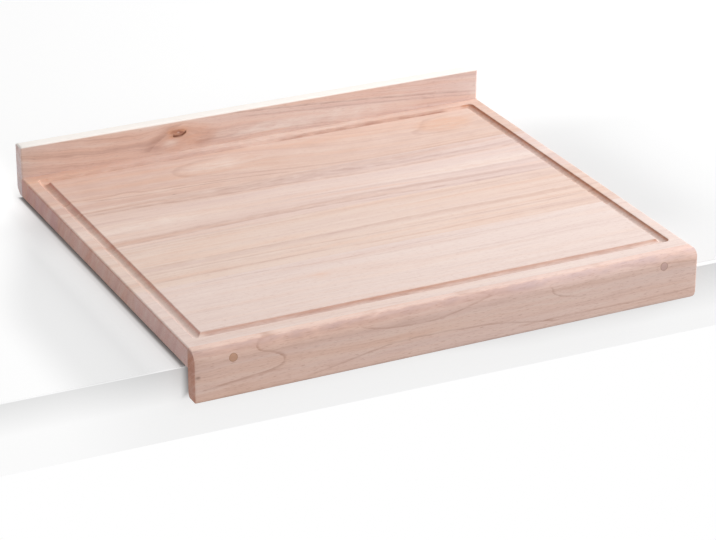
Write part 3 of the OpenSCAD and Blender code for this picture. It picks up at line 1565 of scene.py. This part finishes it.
LIP_WOOD = Wood(
    name="lip_wood",
    left=tint(235, 200, 185),
    right=tint(240, 209, 197),
    seed=5.0,
    face=Face.UPRIGHT,
    surface=-LIP_THICKNESS,
    grain=Grain(broad=0.8, threads=1.3, pores=1.8, mottle=1.5, lean=0.7),
    figure=(
        GrainAndShadeLine(
            ((-16.5, -249), (-13.6, -225), (-11, -201), (-8.4, -178), (-4.6, -168), (-0.8, -166),
             (3.4, -170), (8.8, -183), (12.5, -191), (17, -191), (21, -177), (26, -160)),
            0.9, 3.2, 0.46, course=Course.ACROSS,
        ),
        GrainAndShadeLine(
            ((-97, 16), (-86, 10.5), (-60, 6), (-28, 4.8), (-2, 8), (20, 13), (40, 17)),
            0.7, 2.0, 0.36,
        ),
        GrainAndShadeLine(((-97, 16), (-79, 19.6), (-50, 21.5), (-10, 21), (40, 17)), 0.7, 1.6, 0.34),
        GrainAndShadeLine(
            ((-150, -24), (-108, -17), (-79, -12), (-54, -8.8),
             (-28, -8.4), (26, -10.4), (75, -17), (110, -22)),
            0.7, 2.0, 0.36,
        ),
        GrainAndShadeLine(((60, -20), (110, -18.5), (180, -19), (250, -17)), 0.8, 2.0, 0.3),
        GrainAndShadeLine(
            ((-3, 134), (0, 113), (3.4, 103), (9.8, 97), (15, 94)),
            0.7, 2.4, 0.32, course=Course.ACROSS,
        ),
        GrainAndShadeLine(((130, 22), (170, 17.2), (212, 13), (250, 9.8)), 0.8, 2.0, 0.26),
        # Painted shade: the nose's rounding darker and greyer from just below its top downwards
        GrainAndShadeLine(((-262, 19.2), (-100, 18.9), (0, 19.0), (90, 19.1)), 0.95, -8.0, 0.5),
        GrainAndShadeLine(((-262, 19.2), (-100, 18.9), (0, 19.0), (90, 19.1)), 0.95, -6.0, 0.5, Tone.GREY),
        GrainAndShadeLine(((50, 19.1), (160, 19.1), (270, 19.2)), 1.0, -7.0, 0.75, Tone.GREY),
        # Painted shade along the lip's lower edge
        GrainAndShadeLine(((-262, -26.6), (262, -26.6)), 3.6, 3.6, 0.24, Tone.DEEP),
        Patch(-247.0, -2.6, 3.4, 2.4, 0.4, Tone.DEEP, 0.2),
    ),
    dark=tint(178, 130, 108),
    end=(0.81, 0.61, 0.55, 1.0),
)
UPSTAND_WOOD = Wood(
    name="upstand_wood",
    left=tint(233, 204, 190),
    right=tint(239, 213, 204),
    seed=6.0,
    face=Face.UPRIGHT,
    surface=DEPTH,
    grain=Grain(broad=1.1, bands=1.6, threads=1.3, hue=1.3, mottle=1.8, wander=2.4, lean=-0.5),
    drifts=(
        Drift(20.0, ((-250, 10), (-120, 0), (0, 0), (120, -8), (250, -16))),
        Drift(50.0, ((-250, 14), (-120, 2), (-36, 0), (60, -6), (150, -13), (250, -22))),
    ),
    swells=(Patch(-86.0, 40.0, 42.0, 22.0, -9.0),),
    figure=(
        Patch(70.0, 29.0, 150.0, 12.0, 0.45, Tone.LIGHT),
        Patch(0.0, 30.0, 70.0, 9.0, 0.35, Tone.LIGHT),
        Patch(-78.0, 33.0, 40.0, 19.0, 0.4, Tone.WARM, 0.3),
        GrainAndShadeLine(
            ((24, -118), (30, -112), (36, -104), (44, -92), (49, -80)),
            1.4, -9.0, 0.3, course=Course.ACROSS,
        ),
        Patch(-58.0, 27.0, 17.0, 8.0, 0.3, Tone.DARK),
        Patch(-112.0, 27.0, 12.0, 5.0, 0.3, Tone.DARK),
        Patch(-94.0, 30.0, 12.0, 6.0, 0.5, Tone.LIGHT),
        Patch(-87.0, 40.0, 15.0, 8.5, 0.9, Tone.WARM, 0.3),
        Patch(-88.0, 39.8, 9.0, 6.0, 0.6, Tone.DARK, 0.4),
        Patch(-82.5, 38.4, 5.5, 4.0, 0.8, Tone.DARK, 0.2),
        Patch(-85.5, 39.8, 2.2, 1.6, 0.28, Tone.LIGHT),
        GrainAndShadeLine(((-90, 43.2), (-85, 43.6), (-80.5, 42.2), (-77.5, 39.5)), 1.0, 2.0, 0.3),
        GrainAndShadeLine(
            ((-91.5, 37.6), (-88, 36.1), (-84, 35.9), (-80, 37.6), (-76.5, 40.0)),
            2.1, 2.6, 1.0, Tone.DEEP,
        ),
        GrainAndShadeLine(((-36, 51), (60, 45), (150, 38), (250, 29)), 0.9, 2.6, 0.34),
        GrainAndShadeLine(((-20, 45), (60, 40), (160, 33), (250, 25)), 0.8, 2.0, 0.26),
        Patch(16.0, 24.3, 34.0, 1.8, 0.4, Tone.WARM),
    ),
    dark=tint(164, 114, 98),
    light=tint(254, 248, 242),
    # The left end's grain multiplied above 1, most in blue: a painted pale sheen
    end=(1.13, 1.26, 1.46, 1.0),
    # The top edge above this height gets a painted highlight
    highlight_from=UPSTAND_TOP - 1.9,
)
DOWEL_WOOD = DowelEnd(
    name="dowel_wood",
    left=tint(206, 161, 136),
    right=tint(213, 178, 169),
    rim=tint(166, 124, 100),
)
LIP_FRONT = PROUD - LIP_THICKNESS
LIP_BAR = Bar(
    corners=(
        Corner(LIP_FRONT, -LIP_DROP, 2.0),
        Corner(0.0, -LIP_DROP, 5.0),
        Corner(0.0, THICKNESS),
        Corner(LIP_FRONT, THICKNESS, 10.0 - PROUD),
    ),
    spine=((-8.5, -19.5), (-7.2, 10.0)),
    edges=(
        EndEdge(True, LIP_FRONT, 1, 2.0),
        EndEdge(False, -LIP_DROP, 1, 1.5, side=-1),
        EndEdge(False, -LIP_DROP, 1, 7.0, side=1),
        EndEdge(False, THICKNESS, -1, 2.0),
    ),
)
UPSTAND_BACK = DEPTH + UPSTAND_THICKNESS - PROUD
UPSTAND_BAR = Bar(
    corners=(
        Corner(DEPTH, 0.0),
        Corner(UPSTAND_BACK, 0.0, 14.0 - PROUD),
        Corner(UPSTAND_BACK, UPSTAND_TOP, 4.0),
        Corner(DEPTH, UPSTAND_TOP, 2.0),
    ),
    spine=((416.2, 9.0), (417.5, 45.0)),
    edges=(
        EndEdge(True, UPSTAND_BACK, -1, 2.5),
        EndEdge(True, DEPTH, 1, 2.5, above=THICKNESS),
        EndEdge(False, UPSTAND_TOP, -1, 2.5),
        EndEdge(False, 0.0, 1, 2.0),
    ),
)
STAVES = (
    Stave("front_stave", 0.0, 119.5, FRONT_WOOD),
    Stave("mid_front_stave", 119.5, 214.5, MID_FRONT_WOOD),
    Stave("mid_back_stave", 214.5, 310.5, MID_BACK_WOOD),
    Stave("back_stave", 310.5, DEPTH, BACK_WOOD),
)
LAMPS = (
    Lamp("key", (2.6, 0.2, 1.5), 2.0, 86.0),
    Lamp("fill", (0.4, -2.6, 1.3), 2.0, 15.0),
)


def main() -> None:
    """Builds the board, the stage, the light and the camera."""
    logging.basicConfig(level=logging.INFO, format="%(name)s %(message)s")
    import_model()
    bpy.context.scene.view_settings.view_transform = "Standard"
    Panel(STAVES, JuiceGroove()).build()
    Rail("front_lip", "lip_wood", LIP_BAR, LIP_WOOD).build()
    Rail("rear_upstand", "upstand_wood", UPSTAND_BAR, UPSTAND_WOOD).build()
    Dowels(DOWEL_WOOD).build()
    Worktop().build()
    studio = Studio(LAMPS)
    studio.light()
    studio.aim()


if __name__ == "__main__":
    main()
